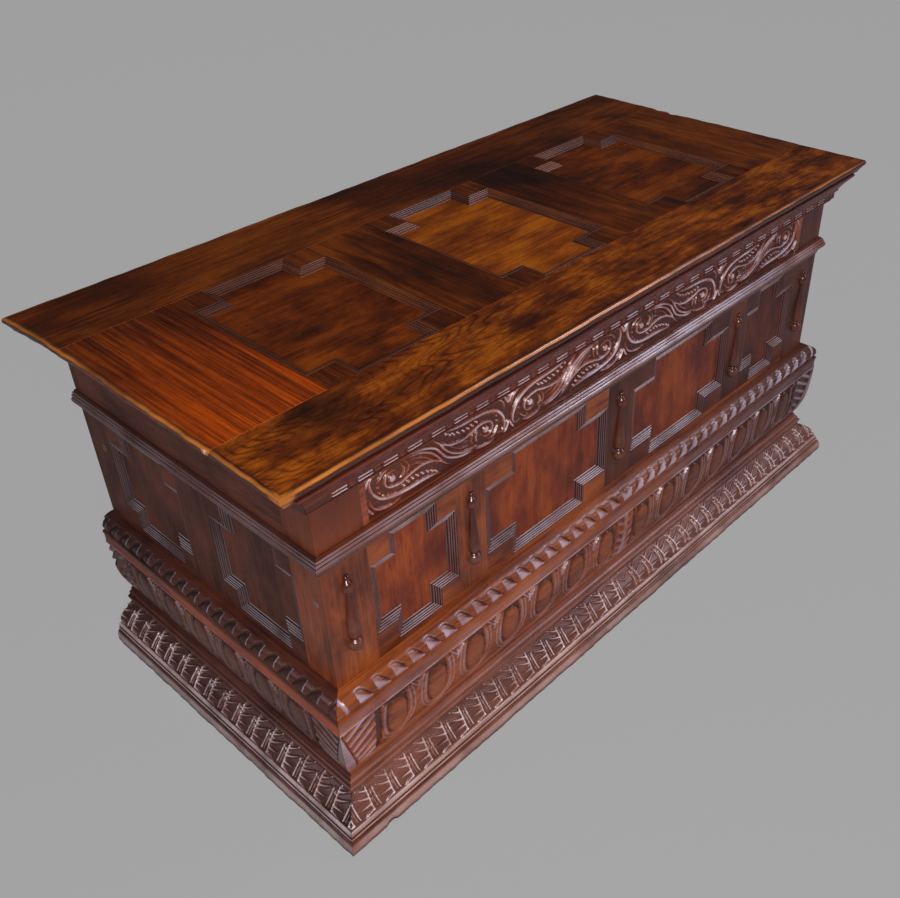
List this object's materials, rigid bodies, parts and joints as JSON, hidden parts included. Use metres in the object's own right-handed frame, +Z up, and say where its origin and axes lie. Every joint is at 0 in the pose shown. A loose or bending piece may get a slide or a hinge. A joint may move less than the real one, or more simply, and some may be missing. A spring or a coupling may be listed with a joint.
{
  "type": "coffer chest",
  "caption": "Joined oak coffer with a panelled hinged lid, stepped moulded panels, a carved frieze, and a carved plinth and base.",
  "frame": {"origin": "centre of the bounding box's underside, on the floor", "axes": "+X along the length, to the right seen from the front; -Y out of the front; +Z up"},
  "size_m": [1.4, 0.684, 0.674],
  "materials": {
    "lid_oak": "waxed, worn at the edges",
    "lid_field_oak": "waxed",
    "frame_oak": "dark waxed",
    "end_oak": "dark waxed",
    "panel_oak": "waxed",
    "end_panel_oak": "dark waxed",
    "carved_oak": "dark waxed, rubbed on the high parts",
    "base_oak": "worn",
    "inside_oak": "bare",
    "hinge_iron": "aged"
  },
  "bodies": {
    "carcass": {"stile_front_left": "frame_oak", "stile_front_right": "frame_oak", "stile_back_left": "frame_oak", "stile_back_right": "frame_oak", "frieze_rail_front": "frame_oak", "bottom_rail_front": "frame_oak", "muntin_front_left": "frame_oak", "muntin_front_centre": "frame_oak", "muntin_front_right": "frame_oak", "panel_front_1": "panel_oak", "panel_front_2": "panel_oak", "panel_front_3": "panel_oak", "panel_front_4": "panel_oak", "top_rail_left": "end_oak", "bottom_rail_left": "end_oak", "muntin_left": "end_oak", "panel_left_front": "end_panel_oak", "panel_left_back": "end_panel_oak", "top_rail_right": "end_oak", "bottom_rail_right": "end_oak", "muntin_right": "end_oak", "panel_right_front": "end_panel_oak", "panel_right_back": "end_panel_oak", "top_rail_back": "inside_oak", "bottom_rail_back": "inside_oak", "panel_back": "inside_oak", "floor_board": "inside_oak", "cornice_front": "carved_oak", "cornice_left": "carved_oak", "cornice_right": "carved_oak", "waist_moulding_front": "carved_oak", "waist_moulding_left": "carved_oak", "waist_moulding_right": "carved_oak", "plinth_front": "carved_oak", "plinth_left": "carved_oak", "plinth_right": "carved_oak", "base_moulding_front": "base_oak", "base_moulding_left": "base_oak", "base_moulding_right": "base_oak", "split_baluster_1": "carved_oak", "split_baluster_2": "carved_oak", "split_baluster_3": "carved_oak", "split_baluster_4": "carved_oak", "split_baluster_5": "carved_oak", "hinge_leaf_lower_left": "hinge_iron", "hinge_pin_left": "hinge_iron", "hinge_leaf_lower_right": "hinge_iron", "hinge_pin_right": "hinge_iron"},
    "lid": {"lid_rail_front": "lid_oak", "lid_rail_back": "lid_oak", "lid_stile_left": "lid_oak", "lid_stile_right": "lid_oak", "lid_muntin_left": "lid_oak", "lid_muntin_right": "lid_oak", "lid_panel_left": "lid_field_oak", "lid_panel_centre": "lid_field_oak", "lid_panel_right": "lid_field_oak", "hinge_leaf_upper_left": "hinge_iron", "hinge_leaf_upper_right": "hinge_iron"}
  },
  "joints": [
    {"name": "lid_hinge", "type": "hinge", "parent": "carcass", "child": "lid", "pos_m": [0, 0.3303, 0.65175], "axis": [-1, 0, 0], "range_deg": [0, 110]}
  ]
}
